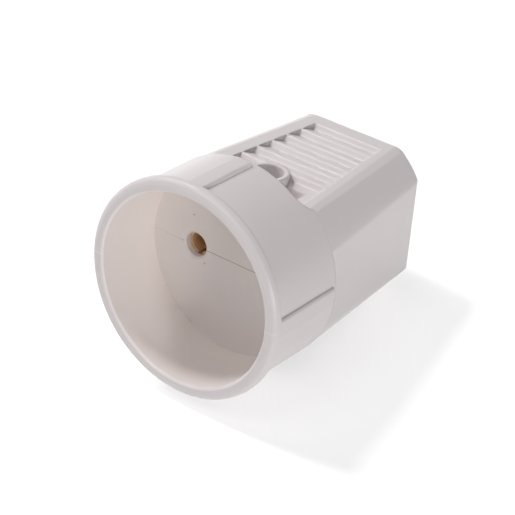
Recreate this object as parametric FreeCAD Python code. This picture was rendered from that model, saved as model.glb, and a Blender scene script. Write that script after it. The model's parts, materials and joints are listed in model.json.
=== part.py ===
import FreeCAD, Part
import math
import os

# Inline socket connector for a two-pin plug, in millimetres.
# Own axes: X to the right seen from the mouth, Y rearward along the socket, Z up.
# The origin is the centre of the mouth, in the plane of the lip.
Vector = FreeCAD.Vector
along_x = Vector(1, 0, 0)
along_y = Vector(0, 1, 0)
along_z = Vector(0, 0, 1)

# Pin system
pin_spacing = 19.0
pin_hole_diameter = 5.2
pin_hole_chamfer = 0.4

# Socket head: lip, barrel and recess
lip_diameter = 45.7
lip_width = 3.0
lip_rise = 1.1
lip_round = 1.4
barrel_wall = 1.75
barrel_length = 20.6
recess_depth = 16.0
mouth_chamfer = 0.5
floor_thickness = 3.0

# Raised ridges along the barrel: above, below and on both sides
ridge_width = 4.2
ridge_rise = 0.7
ridge_setback = 1.1
ridge_edge_chamfer = 0.3

# Notch in the rear of the barrel, in front of the grip panel
notch_wall = 2.1
notch_corner_round = 4.0
notch_side_gap = 0.3

# Tapered tail: a cone with four flats
overall_length = 56.0
tail_height = 31.7
tail_step = 0.1
tail_taper = 2.4
side_flat_front = 1.75
side_flat_rear = 2.9
tail_overlap = 1.0
tail_rim_round = 1.4
tail_edge_break = 0.75

# Grip panel
panel_border_left = 3.9
panel_border_right = 2.7
rib_pitch = 4.37
rib_count = 6
rib_depth = 1.15
rib_steep_run = 0.9
rib_crest = 0.35
rear_land = 4.6
front_pocket_length = 8.1
front_pocket_width = 17.6
front_pocket_depth = 3.0

# Screw boss
boss_setback = 7.5
boss_diameter = 8.2
boss_rise = 0.8
counterbore_diameter = 6.2
screw_seat_height = 9.0
housing_screw_diameter = 3.0
housing_screw_head_diameter = 5.6
housing_screw_head_height = 2.0
housing_screw_tail = 0.8
nut_across_flats = 5.5
nut_height = 2.4

# Inside of the tail
shell_wall = 1.8
rear_wall = 4.0
partition_thickness = 2.4
cradle_thickness = 1.6
cradle_gap = 1.8
cable_diameter = 9.0
wire_passage_diameter = 4.4
peg_diameter = 1.6
peg_height = 1.6
rear_peg_offset = 10.0

# Contacts
sleeve_bore = 4.5
sleeve_wall = 0.9
sleeve_seat_depth = 1.2
sleeve_root = 4.1
sleeve_slit_width = 0.8
spring_thickness = 0.5
spring_width = 4.0
spring_gap_width = 1.6
terminal_width = 7.6
terminal_height = 7.6
terminal_length = 9.0
terminal_screw_setback = 4.5
wire_hole_diameter = 3.2
wire_hole_depth = 8.0
terminal_screw_diameter = 3.0
terminal_screw_head_diameter = 5.2
terminal_screw_head_height = 1.8

# Cord clamp
clamp_setback = 8.5
clamp_screw_spacing = 15.0
clamp_post_diameter = 5.4
clamp_post_top = 2.0
clamp_bar_thickness = 2.2
clamp_bar_width = 6.0
clamp_bar_overhang = 3.0
clamp_saddle_thickness = 3.0
clamp_saddle_drop = 1.5
clamp_screw_diameter = 2.5
clamp_screw_grip = 8.0
clamp_screw_head_diameter = 4.6
clamp_screw_head_height = 1.6

# Screw slots, fits and the facets of the round edges
slot_width = 0.9
slot_depth = 0.8
fit_gap = 0.1
ring_gap = 0.05
lip_facets = 3
rim_facets = 2

# Worked out from the sizes above
lip_radius = lip_diameter / 2
barrel_radius = lip_radius - lip_rise
recess_radius = barrel_radius - barrel_wall
ridge_radius = barrel_radius + ridge_rise
cavity_front_y = recess_depth + floor_thickness
notch_front_y = recess_depth + notch_wall
ridge_front_y = lip_width - lip_rise
tail_front_radius = barrel_radius - tail_step
tail_rear_radius = tail_front_radius - tail_taper
panel_height = tail_height / 2
boss_y = notch_front_y + boss_setback
boss_radius = boss_diameter / 2
last_crest_y = overall_length - rear_land
first_crest_y = last_crest_y - (rib_count - 1) * rib_pitch
cavity_height = panel_height - front_pocket_depth - shell_wall
cavity_end_y = overall_length - rear_wall
contact_x = pin_spacing / 2
sleeve_radius = sleeve_bore / 2 + sleeve_wall
clamp_x = clamp_screw_spacing / 2
clamp_y = overall_length - clamp_setback
rear_cradle_y = clamp_y - clamp_bar_width / 2 - cradle_gap - cradle_thickness
terminal_rear_y = rear_cradle_y - fit_gap
terminal_front_y = terminal_rear_y - terminal_length
terminal_screw_y = terminal_front_y + terminal_screw_setback
front_cradle_y = terminal_front_y - fit_gap - cradle_thickness
sleeve_front_y = cavity_front_y - sleeve_seat_depth + fit_gap
sleeve_length = terminal_front_y - sleeve_front_y
spring_front_y = (cavity_front_y + front_cradle_y - spring_width) / 2
clearance_beyond = lip_diameter


def box_between(x0, x1, y0, y1, z0, z1):
    return Part.makeBox(x1 - x0, y1 - y0, z1 - z0, Vector(x0, y0, z0))


def rod(radius, base, length, direction):
    return Part.makeCylinder(radius, length, base, direction)


def prism(points, direction):
    outline = Part.makePolygon([Vector(*point) for point in points + points[:1]])
    return Part.Face(outline).extrude(direction)


def quarter_arc(start, centre, end):
    """Edge of a quarter circle between two points at right angles round the centre."""
    radius = (start - centre).Length
    middle = centre + (start + end - centre * 2).normalize() * radius
    return Part.Arc(start, middle, end).toShape()


def round_steps(radius, facets):
    """Way along and way inward at each step of a quarter round."""
    steps = []
    for facet in range(facets + 1):
        angle = math.radians(90 * facet / facets)
        steps.append((radius * math.sin(angle), radius - radius * math.cos(angle)))
    return steps


def along_tail(front, rear, y):
    """Size at y of something that changes evenly from the barrel to the tail's end."""
    share = (y - barrel_length) / (overall_length - barrel_length)
    return front + (rear - front) * share


def tail_radius(y):
    return along_tail(tail_front_radius, tail_rear_radius, y)


def tail_side(y):
    """Distance from the axis to the tail's side flats."""
    return tail_radius(y) - along_tail(side_flat_front, side_flat_rear, y)


def socket_head():
    """Lip, barrel and recess, turned round the socket's axis."""
    corners = []
    for along, inward in round_steps(lip_round, lip_facets):
        corners.append(Vector(lip_radius - lip_round + along, inward, 0))
    corners += [
        Vector(lip_radius, lip_width - lip_rise, 0),
        Vector(barrel_radius, lip_width, 0),
        Vector(barrel_radius, barrel_length, 0),
        Vector(0, barrel_length, 0),
        Vector(0, recess_depth, 0),
        Vector(recess_radius, recess_depth, 0),
        Vector(recess_radius, mouth_chamfer, 0),
        Vector(recess_radius + mouth_chamfer, 0, 0),
    ]
    outline = Part.makePolygon(corners + corners[:1])
    return Part.Face(outline).revolve(Vector(), along_y, 360)


def panel_notch():
    """Room in front of and above the grip panel, with round corners at the barrel."""
    side_x = math.sqrt(barrel_radius ** 2 - panel_height ** 2) + notch_side_gap
    inner_x = side_x - notch_corner_round
    corner_y = notch_front_y + notch_corner_round
    back_y = corner_y + barrel_length
    left = Vector(-side_x, corner_y, panel_height)
    right = Vector(side_x, corner_y, panel_height)
    front_left = Vector(-inner_x, notch_front_y, panel_height)
    front_right = Vector(inner_x, notch_front_y, panel_height)
    back_left = Vector(-side_x, back_y, panel_height)
    back_right = Vector(side_x, back_y, panel_height)
    outline = Part.Wire([
        Part.makeLine(back_left, left),
        quarter_arc(left, Vector(-inner_x, corner_y, panel_height), front_left),
        Part.makeLine(front_left, front_right),
        quarter_arc(front_right, Vector(inner_x, corner_y, panel_height), right),
        Part.makeLine(right, back_right),
        Part.makeLine(back_right, back_left),
    ])
    return Part.Face(outline).extrude(along_z * barrel_radius)


def barrel_ridge(end_y):
    """Raised ridge on top of the barrel, from the lip to end_y, with its outer edges broken."""
    half_width = ridge_width / 2
    foot_z = barrel_radius - ridge_rise
    shoulder_z = math.sqrt(ridge_radius ** 2 - half_width ** 2) - ridge_edge_chamfer
    gable = prism(
        [(-half_width, ridge_front_y, foot_z), (half_width, ridge_front_y, foot_z),
         (half_width, ridge_front_y, shoulder_z), (0, ridge_front_y, shoulder_z + half_width),
         (-half_width, ridge_front_y, shoulder_z)],
        along_y * (end_y - ridge_front_y),
    )
    broken_y = end_y - ridge_edge_chamfer
    envelope = rod(ridge_radius, Vector(0, ridge_front_y, 0), broken_y - ridge_front_y, along_y)
    envelope = envelope.fuse(Part.makeCone(
        ridge_radius, ridge_radius - ridge_edge_chamfer, ridge_edge_chamfer, Vector(0, broken_y, 0), along_y,
    ))
    return gable.common(envelope)


def barrel_ridges():
    """The ridges that the upper half carries, whole or in part."""
    ridges = [barrel_ridge(notch_front_y - ridge_setback)]
    for turn in (-90, 90):
        side = barrel_ridge(barrel_length - ridge_setback)
        side.rotate(Vector(), along_y, turn)
        ridges.append(side)
    return ridges


def tail_length(ends, insets, heights):
    """Length of a cone with flats at its sides, top and bottom, drawn in by an inset at each end."""
    y0, y1 = ends
    radius = [tail_radius(y) - inset for y, inset in zip(ends, insets)]
    side = [tail_side(y) - inset for y, inset in zip(ends, insets)]
    cone = Part.makeCone(radius[0], radius[1], y1 - y0, Vector(0, y0, 0), along_y)
    reach = clearance_beyond
    sides = prism(
        [(-side[0], y0, -reach), (side[0], y0, -reach), (side[1], y1, -reach), (-side[1], y1, -reach)],
        along_z * (2 * reach),
    )
    top_and_bottom = prism(
        [(-reach, y0, -heights[0]), (-reach, y0, heights[0]),
         (-reach, y1, heights[1]), (-reach, y1, -heights[1])],
        along_x * (2 * reach),
    )
    return cone.common(sides).common(top_and_bottom)


def upper_edge_breaks(ends, insets, heights):
    """Corners taken off where the tail's top flat meets the cone, at half the angle between them."""
    radius = [tail_radius(y) - inset for y, inset in zip(ends, insets)]
    edge_x = [math.sqrt(r ** 2 - z ** 2) for r, z in zip(radius, heights)]
    fall = math.tan(math.asin(edge_x[0] / radius[0]) / 2)
    inner_x = edge_x[0] - tail_edge_break
    reach = tail_edge_break * 4
    corner = prism(
        [(inner_x, ends[0], heights[0]), (inner_x + reach, ends[0], heights[0] - reach * fall),
         (inner_x + reach, ends[0], heights[0] + reach), (inner_x, ends[0], heights[0] + reach)],
        Vector(edge_x[1] - edge_x[0], ends[1] - ends[0], heights[1] - heights[0]),
    )
    return [corner, corner.mirror(Vector(), along_x)]


def tail():
    """Outside of the tail, with its rear rim rounded and the edges of its top flat broken."""
    rim_y = overall_length - tail_rim_round
    spans = [((barrel_length - tail_overlap, rim_y), (0, 0))]
    steps = round_steps(tail_rim_round, rim_facets)
    for (y0, inset0), (y1, inset1) in zip(steps, steps[1:]):
        spans.append(((rim_y + y0, rim_y + y1), (inset0, inset1)))
    lengths = []
    for ends, insets in spans:
        heights = [panel_height - inset for inset in insets]
        length = tail_length(ends, insets, heights)
        lengths.append(length.cut(upper_edge_breaks(ends, insets, heights)))
    return lengths[0].fuse(lengths[1:])


def panel_side(y, border):
    """Distance from the middle of the grip panel to the inner edge of one border."""
    return math.sqrt(tail_radius(y) ** 2 - panel_height ** 2) - border


def sawtooth(top):
    """Space over the grip ribs: level in front, then valleys that fall gently to a steep face."""
    side_x = -clearance_beyond
    valley_z = panel_height - rib_depth
    outline = [(side_x, notch_front_y, top), (side_x, notch_front_y, valley_z)]
    for rib in range(rib_count):
        crest_y = first_crest_y + rib * rib_pitch
        outline.append((side_x, crest_y - rib_steep_run, valley_z))
        outline.append((side_x, crest_y, panel_height))
        if rib < rib_count - 1:
            outline.append((side_x, crest_y + rib_crest, panel_height))
    outline.append((side_x, last_crest_y, top))
    return prism(outline, along_x * (2 * clearance_beyond))


def grip_panel():
    """What the moulding leaves open in the panel: grip valleys, and a deeper pocket round the boss."""
    base = panel_height - front_pocket_depth
    top = panel_height + front_pocket_depth
    plan = [(-panel_side(notch_front_y, panel_border_left), notch_front_y, base),
            (panel_side(notch_front_y, panel_border_right), notch_front_y, base),
            (panel_side(last_crest_y, panel_border_right), last_crest_y, base),
            (-panel_side(last_crest_y, panel_border_left), last_crest_y, base)]
    pocket = box_between(
        -front_pocket_width / 2, front_pocket_width / 2,
        notch_front_y, notch_front_y + front_pocket_length, base, top,
    )
    return pocket.fuse(sawtooth(top)).common(prism(plan, along_z * (top - base)))


def cradles():
    """Partition, screw column and cross walls that hold the contacts in one half."""
    walls = [box_between(
        -partition_thickness / 2, partition_thickness / 2,
        cavity_front_y, rear_cradle_y + cradle_thickness, 0, cavity_height,
    )]
    walls.append(rod(boss_radius, Vector(0, boss_y, 0), cavity_height, along_z))
    notches = []
    for wall_y, notch_radius in (
        (front_cradle_y, sleeve_radius + fit_gap),
        (rear_cradle_y, wire_passage_diameter / 2),
    ):
        walls.append(box_between(
            -tail_front_radius, tail_front_radius,
            wall_y, wall_y + cradle_thickness, 0, cavity_height,
        ))
        for x in (-contact_x, contact_x):
            notches.append(rod(notch_radius, Vector(x, wall_y, 0), cradle_thickness, along_y))
    return walls[0].fuse(walls[1:]).cut(notches)


def passages():
    """Pin holes with broken edges and the sleeves' seats behind them, and the way in for the cord."""
    ways = [rod(cable_diameter / 2, Vector(0, cavity_end_y, 0), rear_wall, along_y)]
    for x in (-contact_x, contact_x):
        entry = Vector(x, recess_depth, 0)
        hole_radius = pin_hole_diameter / 2
        ways.append(rod(hole_radius, entry, floor_thickness, along_y))
        ways.append(Part.makeCone(
            hole_radius + pin_hole_chamfer, hole_radius, pin_hole_chamfer, entry, along_y,
        ))
        seat_y = cavity_front_y - sleeve_seat_depth
        ways.append(rod(sleeve_radius + fit_gap, Vector(x, seat_y, 0), sleeve_seat_depth, along_y))
    return ways


def housing_half():
    """The upper half, up to what differs between the halves."""
    half_space = box_between(
        -clearance_beyond, clearance_beyond, 0, overall_length, 0, clearance_beyond,
    )
    head = socket_head().cut(panel_notch()).fuse(barrel_ridges())
    body = head.fuse(tail()).common(half_space).cut(grip_panel())
    boss = rod(boss_radius, Vector(0, boss_y, 0), panel_height + boss_rise, along_z)
    body = body.fuse(boss)
    cavity = tail_length(
        (cavity_front_y, cavity_end_y), (shell_wall, shell_wall), (cavity_height, cavity_height),
    )
    cavity = cavity.common(half_space).cut(cradles())
    screw_way = rod(
        housing_screw_diameter / 2 + fit_gap, Vector(0, boss_y, 0), panel_height + boss_rise, along_z,
    )
    return body.cut([cavity, screw_way] + passages()).removeSplitter()


def half_turn(shape):
    turned = shape.copy()
    turned.rotate(Vector(), along_y, 180)
    return turned


def peg_places():
    front = (0, recess_depth + floor_thickness / 2)
    rear_y = cavity_end_y + rear_wall / 2
    return [front, (-rear_peg_offset, rear_y), (rear_peg_offset, rear_y)]


def upper_housing(half):
    seat = Vector(0, boss_y, screw_seat_height)
    cuts = [rod(counterbore_diameter / 2, seat, panel_height + boss_rise - screw_seat_height, along_z)]
    for x, y in peg_places():
        cuts.append(rod(peg_diameter / 2 + fit_gap, Vector(x, y, 0), peg_height + fit_gap, along_z))
    return half.cut(cuts)


def hexagon(across_flats, base, height, direction):
    """Six-sided prism standing on a base point."""
    corner = across_flats / math.sqrt(3)
    ring = []
    for step in range(6):
        angle = math.radians(60 * step)
        ring.append((base.x + corner * math.cos(angle), base.y + corner * math.sin(angle), base.z))
    return prism(ring, direction * height)


def lower_housing(half):
    nut_way = panel_height + boss_rise - screw_seat_height
    pocket = hexagon(
        nut_across_flats + fit_gap * 2, Vector(0, boss_y, -screw_seat_height), nut_way, -along_z,
    )
    added = [clamp_seat()]
    for x, y in peg_places():
        added.append(rod(peg_diameter / 2, Vector(x, y, 0), peg_height, along_z))
    return half_turn(half).cut(pocket).fuse(added).removeSplitter()


def clamp_seat():
    """Two posts and a saddle between them, standing on the wall of the lower half."""
    floor_z = -cavity_height
    saddle = box_between(
        -clamp_x, clamp_x,
        clamp_y - clamp_saddle_thickness / 2, clamp_y + clamp_saddle_thickness / 2,
        floor_z, -clamp_saddle_drop,
    )
    groove = Vector(0, clamp_y - clamp_saddle_thickness / 2, 0)
    saddle = saddle.cut(rod(cable_diameter / 2, groove, clamp_saddle_thickness, along_y))
    posts = []
    pilots = []
    for x in (-clamp_x, clamp_x):
        foot = Vector(x, clamp_y, floor_z)
        top = Vector(x, clamp_y, clamp_post_top)
        posts.append(rod(clamp_post_diameter / 2, foot, clamp_post_top - floor_z, along_z))
        pilots.append(rod(clamp_screw_diameter / 2 + ring_gap, top, clamp_screw_grip + fit_gap, -along_z))
    return saddle.fuse(posts).cut(pilots)


def slotted_screw(seat, diameter, grip, head_diameter, head_height):
    """Screw pointing down, with the underside of its head at the seat."""
    head = rod(head_diameter / 2, seat, head_height, along_z)
    slot = box_between(
        seat.x - head_diameter, seat.x + head_diameter,
        seat.y - slot_width / 2, seat.y + slot_width / 2,
        seat.z + head_height - slot_depth, seat.z + head_height,
    )
    return head.cut(slot).fuse(rod(diameter / 2, seat, grip, -along_z)).removeSplitter()


def contact(x):
    """Split sleeve and terminal block, turned and milled from one brass bar."""
    front = Vector(x, sleeve_front_y, 0)
    block = box_between(
        x - terminal_width / 2, x + terminal_width / 2, terminal_front_y, terminal_rear_y,
        -terminal_height / 2, terminal_height / 2,
    )
    slit = box_between(
        x - sleeve_slit_width / 2, x + sleeve_slit_width / 2,
        sleeve_front_y, terminal_front_y - sleeve_root, -sleeve_radius, sleeve_radius,
    )
    wire_way = rod(wire_hole_diameter / 2, Vector(x, terminal_rear_y, 0), wire_hole_depth, -along_y)
    screw_way = rod(
        terminal_screw_diameter / 2 + ring_gap, Vector(x, terminal_screw_y, 0), terminal_height / 2, along_z,
    )
    body = rod(sleeve_radius, front, sleeve_length, along_y).fuse(block)
    bore = rod(sleeve_bore / 2, front, sleeve_length, along_y)
    return body.cut([bore, slit, wire_way, screw_way]).removeSplitter()


def contact_spring(x):
    """Open ring round the split sleeve."""
    inner = sleeve_radius + ring_gap
    front = Vector(x, spring_front_y, 0)
    ring = rod(inner + spring_thickness, front, spring_width, along_y)
    opening = box_between(
        x - spring_gap_width / 2, x + spring_gap_width / 2,
        front.y, front.y + spring_width, 0, inner + spring_thickness,
    )
    return ring.cut([rod(inner, front, spring_width, along_y), opening])


def terminal_screw(x):
    seat = Vector(x, terminal_screw_y, terminal_height / 2)
    return slotted_screw(
        seat, terminal_screw_diameter, terminal_height / 2,
        terminal_screw_head_diameter, terminal_screw_head_height,
    )


def housing_screw():
    seat = Vector(0, boss_y, screw_seat_height)
    grip = screw_seat_height * 2 + nut_height + housing_screw_tail
    return slotted_screw(
        seat, housing_screw_diameter, grip, housing_screw_head_diameter, housing_screw_head_height,
    )


def housing_nut():
    seat = Vector(0, boss_y, -screw_seat_height)
    nut = hexagon(nut_across_flats, seat, nut_height, -along_z)
    return nut.cut(rod(housing_screw_diameter / 2 + ring_gap, seat, nut_height, -along_z))


def clamp_bar():
    """Flat bar across the cord, with a hole for each screw."""
    half_length = clamp_x + clamp_bar_overhang
    bar = box_between(
        -half_length, half_length, clamp_y - clamp_bar_width / 2, clamp_y + clamp_bar_width / 2,
        clamp_post_top, clamp_post_top + clamp_bar_thickness,
    )
    holes = [rod(clamp_screw_diameter / 2 + fit_gap, Vector(x, clamp_y, clamp_post_top),
                 clamp_bar_thickness, along_z) for x in (-clamp_x, clamp_x)]
    return bar.cut(holes)


def clamp_screw(x):
    seat = Vector(x, clamp_y, clamp_post_top + clamp_bar_thickness)
    return slotted_screw(
        seat, clamp_screw_diameter, clamp_bar_thickness + clamp_screw_grip,
        clamp_screw_head_diameter, clamp_screw_head_height,
    )


def rest_tilt():
    """Angle at which the connector lies on the end of its lower ridge and the rim of its tail."""
    ridge_end_y = notch_front_y - ridge_setback - ridge_edge_chamfer
    run = overall_length - tail_rim_round - ridge_end_y
    return math.degrees(math.atan2(ridge_radius - panel_height, run))


def pieces():
    half = housing_half()
    made = {
        "upper_housing": upper_housing(half),
        "lower_housing": lower_housing(half),
        "housing_screw": housing_screw(),
        "housing_nut": housing_nut(),
        "clamp_bar": clamp_bar(),
    }
    for side, sign in (("left", -1), ("right", 1)):
        made["contact_" + side] = contact(sign * contact_x)
        made["contact_spring_" + side] = contact_spring(sign * contact_x)
        made["terminal_screw_" + side] = terminal_screw(sign * contact_x)
        made["clamp_screw_" + side] = clamp_screw(sign * clamp_x)
    return made


os.makedirs("parts", exist_ok=True)
for name, shape in pieces().items():
    shape.rotate(Vector(), along_x, -rest_tilt())
    shape.exportStep("parts/" + name + ".step")
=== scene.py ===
import json
import math

import bpy
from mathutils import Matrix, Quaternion, Vector


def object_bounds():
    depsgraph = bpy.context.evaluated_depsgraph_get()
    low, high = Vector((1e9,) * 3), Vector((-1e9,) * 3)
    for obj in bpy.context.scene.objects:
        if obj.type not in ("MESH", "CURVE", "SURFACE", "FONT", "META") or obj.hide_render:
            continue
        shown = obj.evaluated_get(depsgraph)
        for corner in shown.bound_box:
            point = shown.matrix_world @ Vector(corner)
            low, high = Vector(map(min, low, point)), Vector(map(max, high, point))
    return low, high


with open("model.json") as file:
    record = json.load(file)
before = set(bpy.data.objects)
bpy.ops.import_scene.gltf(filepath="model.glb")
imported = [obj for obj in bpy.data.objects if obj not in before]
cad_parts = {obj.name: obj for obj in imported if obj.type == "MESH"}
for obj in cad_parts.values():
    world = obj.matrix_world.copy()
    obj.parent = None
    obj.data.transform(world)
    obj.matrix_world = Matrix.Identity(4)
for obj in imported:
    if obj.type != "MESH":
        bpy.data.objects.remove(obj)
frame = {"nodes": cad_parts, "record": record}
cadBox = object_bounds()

mm = 0.001
print("frame loaded:", len(frame["nodes"]), "nodes")

# the connector's own axis falls towards the tail, so its mouth looks a little upwards
mounts = {mount["name"]: mount for mount in frame["record"]["mounts"]}
mouthAxis = Vector(mounts["lip_face"]["axis"])
restTilt = math.atan2(mouthAxis.z, -mouthAxis.y)
leftHoleX = mounts["pin_hole_left"]["pos_m"][0]
recessRadius = mounts["plug_recess"]["dims"]["r_mm"] * mm
recessFloor = -2 * Vector(mounts["plug_recess"]["pos_m"]).dot(mouthAxis)  # the mount is at half depth


def newMaterial(name):
    made = bpy.data.materials.new(name)
    made.use_nodes = True
    return made, made.node_tree, made.node_tree.nodes["Principled BSDF"]


def feed(tree, node, inputs):
    # an output of another node is linked, anything else is set on the input itself
    for key, value in inputs.items():
        if isinstance(value, bpy.types.NodeSocket):
            tree.links.new(value, node.inputs[key])
        else:
            node.inputs[key].default_value = value


def addNode(tree, kind, inputs=None, **settings):
    node = tree.nodes.new(kind)
    for key, value in settings.items():
        setattr(node, key, value)
    feed(tree, node, inputs or {})
    return node


def ownAxes(tree):
    # object coordinates turned so that Y runs along the connector and Z stands on the parting plane
    place = addNode(tree, "ShaderNodeTexCoord").outputs["Object"]
    turned = addNode(tree, "ShaderNodeMapping", {"Vector": place, "Rotation": (restTilt, 0, 0)})
    return turned.outputs["Vector"]


def noiseAt(tree, place, scale, detail):
    node = addNode(tree, "ShaderNodeTexNoise", {"Vector": place, "Scale": scale, "Detail": detail})
    return node.outputs["Fac"]


def bumpOf(tree, height, distance, strength, **under):
    inputs = {"Height": height, "Distance": distance, "Strength": strength, **under}
    return addNode(tree, "ShaderNodeBump", inputs).outputs["Normal"]


def remap(tree, value, span, low, high):
    node = addNode(tree, "ShaderNodeMapRange", {
        "Value": value, "From Min": span[0], "From Max": span[1], "To Min": low, "To Max": high,
    })
    return node.outputs["Result"]


def fadeOut(tree, value, span):
    return remap(tree, value, span, 1, 0)


def calculate(tree, operation, first, second=0.0):
    return addNode(tree, "ShaderNodeMath", {0: first, 1: second}, operation=operation).outputs[0]


def product(tree, first, *others):
    for other in others:
        first = calculate(tree, "MULTIPLY", first, other)
    return first


def measure(tree, operation, first, second=(0, 0, 0)):
    node = addNode(tree, "ShaderNodeVectorMath", {0: first, 1: second}, operation=operation)
    return node.outputs["Value"]


def mixColour(tree, share, first, second):
    # a mix node has its colours at inputs 6 and 7 and at output 2
    return addNode(tree, "ShaderNodeMix", {0: share, 6: first, 7: second}, data_type="RGBA").outputs[2]


def seenRays(tree):
    rays = addNode(tree, "ShaderNodeLightPath").outputs
    mirrored = calculate(tree, "MAXIMUM", rays["Is Glossy Ray"], rays["Is Transmission Ray"])
    return calculate(tree, "MAXIMUM", rays["Is Camera Ray"], mirrored)


# a span gives where something starts and ends to fade
housingLook = {
    # warmWhite is the recess's painted tint for light bounced around inside it
    "warmWhite": (0.932, 0.868, 0.840, 1),
    "roseWhite": (0.897, 0.842, 0.856, 1),
    "warmPastWall": (0.1 * mm, 0.6 * mm),
    "warmPastFloor": (0.3 * mm, 0.8 * mm),
    "mottleScale": 70.0,
    "mottleSpan": (0.35, 0.65),
    "mottleShare": 0.25,
    "floorSkin": (0.1 * mm, 0.2 * mm),
    "seamShade": (0.46, 0.40, 0.36, 1),
    # a painted highlight along the joint where it crosses the lip
    "seamHighlight": (0.985, 0.935, 0.940, 1),
    "seamHalf": 0.05 * mm,
    "seamFaint": 0.2,
    "seamReach": 6 * mm,  # left of the left pin hole, where the joint is closed tightest
    "lipDepth": (0.3 * mm, 0.8 * mm),
    # a painted highlight along the mouth's rim, standing in for its chamfer catching light
    "rimHighlight": (0.985, 0.935, 0.940, 1),
    "rimHighlightWidth": (0.25 * mm, 0.35 * mm),
    "rimHighlightDepth": (0.5 * mm, 0.6 * mm),
    "speckShade": (0.10, 0.085, 0.08, 1),
    "speckSpan": (0.11 * mm, 0.165 * mm),
    "specks": [(-10.23 * mm, 6.68 * mm), (-6.84 * mm, -3.06 * mm)],  # X and Z on the recess floor
    "flowScale": 420.0,
    "flowStretch": 0.15,
    "flowSpan": (0.3, 0.7),
    "roughLow": 0.29,
    "roughHigh": 0.35,
    "refraction": 1.5,
    "grainScale": 3600.0,
    "grainHeight": 0.006 * mm,
    "grainStrength": 0.5,
    "edgeSoft": 0.45 * mm,
    "sideSoft": 2.2 * mm,
    "ribSoft": 0.8 * mm,
    "floorSoft": 0.06 * mm,
    "mouthSoft": 0.1 * mm,
    "tailSpan": (21.5 * mm, 23.5 * mm),  # along the connector
    "ribSpan": (12.5 * mm, 13.5 * mm),  # off the parting plane
    "cornerSpan": (0.6 * mm, 0.9 * mm),  # off the recess floor
    "mouthSpan": (0.7 * mm, 1.1 * mm),  # outside the recess
    "frontSpan": (1.5 * mm, 2.0 * mm),  # along the connector
    "jointRoom": 0.3 * mm,
    "softSamples": 12,
}


def housingSpot(tree):
    # where a point of the housing lies, in metres
    place = ownAxes(tree)
    axes = addNode(tree, "ShaderNodeSeparateXYZ", {"Vector": place}).outputs
    across = addNode(tree, "ShaderNodeCombineXYZ", {"X": axes["X"], "Z": axes["Z"]}).outputs["Vector"]
    pastFloor = calculate(tree, "SUBTRACT", axes["Y"], recessFloor)
    return {
        "place": place,
        "aside": axes["X"],
        "along": axes["Y"],
        "across": across,
        "offJoint": calculate(tree, "ABSOLUTE", axes["Z"]),
        "pastWall": calculate(tree, "SUBTRACT", measure(tree, "LENGTH", across), recessRadius),
        "pastFloor": pastFloor,
        "offFloor": calculate(tree, "ABSOLUTE", pastFloor),
    }


def housingTone(tree, spot):
    look = housingLook
    # the recess is painted warmer, a painted tint that stands in for light bounced around inside it, in
    # soft clouds
    clouds = noiseAt(tree, spot["place"], look["mottleScale"], 3)
    mottle = remap(tree, clouds, look["mottleSpan"], -look["mottleShare"], look["mottleShare"])
    inside = fadeOut(tree, spot["pastWall"], look["warmPastWall"])
    ahead = fadeOut(tree, spot["pastFloor"], look["warmPastFloor"])
    warm = calculate(tree, "ADD", product(tree, inside, ahead), mottle)
    tone = mixColour(tree, warm, look["roseWhite"], look["warmWhite"])
    # the joint between the halves is dark on the recess floor
    half = look["seamHalf"]
    onFloor = product(tree, fadeOut(tree, spot["offFloor"], look["floorSkin"]), inside)
    seam = fadeOut(tree, spot["offJoint"], (half, 2 * half))
    opening = remap(tree, spot["aside"], (leftHoleX - look["seamReach"], leftHoleX), look["seamFaint"], 1)
    tone = mixColour(tree, product(tree, seam, opening, onFloor), tone, look["seamShade"])
    for x, z in look["specks"]:
        away = measure(tree, "DISTANCE", spot["across"], (x, 0, z))
        speck = product(tree, fadeOut(tree, away, look["speckSpan"]), onFloor)
        tone = mixColour(tree, speck, tone, look["speckShade"])
    # where the joint crosses the lip, a thin pale highlight is painted on it, standing in for a tiny
    # chamfer catching light
    lipSeamHighlight = fadeOut(tree, spot["offJoint"], (2 * half, 3 * half))
    onLip = fadeOut(tree, spot["along"], look["lipDepth"])
    tone = mixColour(tree, product(tree, lipSeamHighlight, onLip), tone, look["seamHighlight"])
    # a thin pale highlight is painted along the rim of the mouth, standing in for its chamfer catching
    # light
    rim = fadeOut(tree, spot["pastWall"], look["rimHighlightWidth"])
    rim = product(tree, rim, fadeOut(tree, spot["along"], look["rimHighlightDepth"]))
    return mixColour(tree, rim, tone, look["rimHighlight"])


def edgeRadius(tree, spot):
    # rounds are wide on the tail, crisp at the mouth and in the recess's corner, and none at the joint
    look = housingLook
    tail = remap(tree, spot["along"], look["tailSpan"], 0, 1)
    onTail = remap(tree, spot["offJoint"], look["ribSpan"], look["sideSoft"], look["ribSoft"])
    wide = addNode(tree, "ShaderNodeMix", {0: tail, 2: look["edgeSoft"], 3: onTail}).outputs[0]
    corner = remap(tree, spot["offFloor"], look["cornerSpan"], look["floorSoft"], look["sideSoft"])
    wide = calculate(tree, "MINIMUM", wide, corner)
    mouth = remap(tree, spot["pastWall"], look["mouthSpan"], look["mouthSoft"], look["edgeSoft"])
    behind = remap(tree, spot["along"], look["frontSpan"], 0, 1)
    wide = calculate(tree, "MINIMUM", wide, calculate(tree, "ADD", mouth, behind))
    room = calculate(tree, "SUBTRACT", spot["offJoint"], look["jointRoom"])
    return calculate(tree, "MAXIMUM", calculate(tree, "MINIMUM", wide, room), 0.0)


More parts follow.
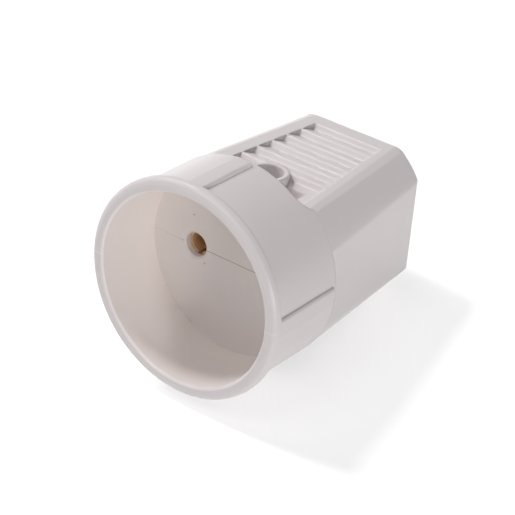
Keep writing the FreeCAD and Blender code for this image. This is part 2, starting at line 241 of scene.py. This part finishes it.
def housingPlastic():
    look = housingLook
    made, tree, shader = newMaterial("housing_plastic")
    spot = housingSpot(tree)
    # streaks of the flow in the mould run lengthwise
    stretch = {"Vector": spot["place"], "Scale": (1, look["flowStretch"], 1)}
    flow = addNode(tree, "ShaderNodeMapping", stretch).outputs["Vector"]
    streaks = noiseAt(tree, flow, look["flowScale"], 4)
    radius = edgeRadius(tree, spot)
    soft = addNode(tree, "ShaderNodeBevel", {"Radius": radius}, samples=look["softSamples"])
    grain = noiseAt(tree, spot["place"], look["grainScale"], 2)
    feed(tree, shader, {
        "Base Color": housingTone(tree, spot),
        "Roughness": remap(tree, streaks, look["flowSpan"], look["roughLow"], look["roughHigh"]),
        "Normal": bumpOf(
            tree, grain, look["grainHeight"], look["grainStrength"], Normal=soft.outputs["Normal"],
        ),
        "IOR": look["refraction"],
    })
    return made


brassLook = {
    "bright": (0.95, 0.69, 0.43, 1),
    "dull": (0.82, 0.58, 0.35, 1),
    "tarnishScale": 260.0,
    "tarnishSpan": (0.4, 0.7),
    "ringScale": 900.0,
    "ringWaver": 0.4,
    "ringHeight": 0.004 * mm,
    "ringStrength": 0.6,
    "roughLow": 0.42,
    "roughHigh": 0.62,
    "metal": 0.35,
}


def contactBrass():
    look = brassLook
    made, tree, shader = newMaterial("contact_brass")
    place = ownAxes(tree)
    tarnish = remap(tree, noiseAt(tree, place, look["tarnishScale"], 4), look["tarnishSpan"], 0, 1)
    # fine rings left by the turning tool
    rings = addNode(tree, "ShaderNodeTexWave", {
        "Vector": place, "Scale": look["ringScale"], "Distortion": look["ringWaver"],
    }, bands_direction="Y").outputs["Fac"]
    feed(tree, shader, {
        "Base Color": mixColour(tree, tarnish, look["bright"], look["dull"]),
        "Roughness": remap(tree, tarnish, (0, 1), look["roughLow"], look["roughHigh"]),
        "Normal": bumpOf(tree, rings, look["ringHeight"], look["ringStrength"]),
        "Metallic": look["metal"],
    })
    return made


steelLook = {
    "pale": (0.60, 0.60, 0.61, 1),
    "dark": (0.42, 0.42, 0.44, 1),
    "cloudScale": 500.0,
    "cloudSpan": (0.35, 0.7),
    "crystalScale": 1400.0,
    "crystalHeight": 0.01 * mm,
    "crystalStrength": 0.25,
    "roughLow": 0.26,
    "roughHigh": 0.46,
}


def screwSteel():
    look = steelLook
    made, tree, shader = newMaterial("screw_steel")
    place = ownAxes(tree)
    # zinc plating: small crystals under soft clouds
    crystals = addNode(tree, "ShaderNodeTexVoronoi", {"Vector": place, "Scale": look["crystalScale"]})
    cloud = remap(tree, noiseAt(tree, place, look["cloudScale"], 4), look["cloudSpan"], 0, 1)
    height = crystals.outputs["Distance"]
    feed(tree, shader, {
        "Base Color": mixColour(tree, cloud, look["pale"], look["dark"]),
        "Roughness": remap(tree, cloud, (0, 1), look["roughLow"], look["roughHigh"]),
        "Normal": bumpOf(tree, height, look["crystalHeight"], look["crystalStrength"]),
        "Metallic": 1.0,
    })
    return made


def dressNodes():
    finishes = {
        "housing_plastic": housingPlastic(),
        "contact_brass": contactBrass(),
        "screw_steel": screwSteel(),
    }
    slotOf = {row["node"]: row["material_slot"] for row in frame["record"]["subparts"]}
    for name, node in frame["nodes"].items():
        node.data.materials.clear()
        node.data.materials.append(finishes[slotOf[name]])


dressNodes()
print("finishes set")

floorLook = {
    "size": 6.0,
    "colour": (0.86, 0.86, 0.86, 1),
    "roughness": 0.9,
    "fibreScale": 900.0,
    "fibreHeight": 0.02 * mm,
    "fibreStrength": 0.2,
    "glowNear": 0.58,
    "glowFar": 1.0,
    "glowSpan": (0.15, 0.60),
}


def layFloor():
    look = floorLook
    bpy.ops.mesh.primitive_plane_add(size=look["size"], location=(0, 0, cadBox[0].z))
    floor = bpy.context.object
    floor.name = "floor"
    made, tree, shader = newMaterial("floor_paper")
    place = addNode(tree, "ShaderNodeTexCoord").outputs["Object"]
    fibre = noiseAt(tree, place, look["fibreScale"], 3)
    # seen straight on or mirrored, the paper is lifted to white, more so where the lamps don't reach
    away = measure(tree, "LENGTH", place)
    glow = remap(tree, away, look["glowSpan"], look["glowNear"], look["glowFar"])
    feed(tree, shader, {
        "Base Color": look["colour"],
        "Roughness": look["roughness"],
        "Normal": bumpOf(tree, fibre, look["fibreHeight"], look["fibreStrength"]),
        "Emission Color": (1, 1, 1, 1),
        "Emission Strength": product(tree, seenRays(tree), glow),
    })
    floor.data.materials.append(made)


layFloor()
print("floor laid")

skyLook = {
    "light": (1, 1, 1, 1),
    "left": 0.26,
    "right": 0.09,
    "acrossSpan": (-0.5, 0.6),  # from left to right
}


def hangSky():
    look = skyLook
    world = bpy.data.worlds.new("studio")
    bpy.context.scene.world = world
    world.use_nodes = True
    tree = world.node_tree
    # light falls mostly from the left; seen straight on or mirrored, the sky is white
    toward = addNode(tree, "ShaderNodeTexCoord").outputs["Generated"]
    aside = addNode(tree, "ShaderNodeSeparateXYZ", {"Vector": toward}).outputs["X"]
    level = remap(tree, aside, look["acrossSpan"], look["left"], look["right"])
    feed(tree, tree.nodes["Background"], {
        "Color": look["light"],
        "Strength": calculate(tree, "MAXIMUM", level, seenRays(tree)),
    })


hangSky()
print("sky hung")

# lamps: azimuth 0 stands in front of the mouth, 90 to its right; distance and size in metres
lampLooks = {
    "key": {
        "azimuth": -92, "elevation": 60, "distance": 0.9, "size": 0.12, "power": 2.2,
        "colour": (1, 0.985, 0.98),
    },
    "left": {
        "azimuth": -92, "elevation": 42, "distance": 0.9, "size": 0.30, "power": 1.75,
        "colour": (1, 0.985, 0.98),
    },
    "window": {
        "azimuth": 63, "elevation": 4, "distance": 1.1, "size": 0.35, "power": 4.6,
        "colour": (1, 0.985, 0.975),
    },
    "top": {
        "azimuth": -10, "elevation": 62, "distance": 1.0, "size": 0.50, "power": 1.0,
        "colour": (1, 0.99, 0.985),
    },
}


def directionFrom(azimuth, elevation):
    turn = math.radians(azimuth)
    rise = math.radians(elevation)
    return Vector((math.sin(turn) * math.cos(rise), -math.cos(turn) * math.cos(rise), math.sin(rise)))


def hangLamps():
    middle = (cadBox[0] + cadBox[1]) / 2
    for name, look in lampLooks.items():
        lamp = bpy.data.lights.new(name, "AREA")
        lamp.shape = "DISK"
        lamp.size = look["size"]
        lamp.energy = look["power"]
        lamp.color = look["colour"]
        holder = bpy.data.objects.new(name, lamp)
        back = directionFrom(look["azimuth"], look["elevation"])
        holder.location = middle + back * look["distance"]
        holder.rotation_euler = (-back).to_track_quat("-Z", "Y").to_euler()
        bpy.context.scene.collection.objects.link(holder)


hangLamps()
print("lamps hung:", len(lampLooks))

viewpoint = {
    "azimuth": 39.41,
    "elevation": 37.33,
    "roll": -2.06,
    "aim": Vector((9.254, 12.304, 4.761)) * mm,
    "distance": 374.68 * mm,
    "lens": 137.52,
    "nearest": 10 * mm,
}


def placeCamera():
    camera = bpy.data.objects.new("camera", bpy.data.cameras.new("camera"))
    back = directionFrom(viewpoint["azimuth"], viewpoint["elevation"])
    camera.location = viewpoint["aim"] + back * viewpoint["distance"]
    camera.rotation_mode = "QUATERNION"
    roll = Quaternion((0, 0, 1), math.radians(viewpoint["roll"]))
    camera.rotation_quaternion = (-back).to_track_quat("-Z", "Y") @ roll
    camera.data.lens = viewpoint["lens"]
    camera.data.clip_start = viewpoint["nearest"]
    bpy.context.scene.collection.objects.link(camera)
    bpy.context.scene.camera = camera


placeCamera()
bpy.context.scene.view_settings.view_transform = "Standard"
print("camera placed")
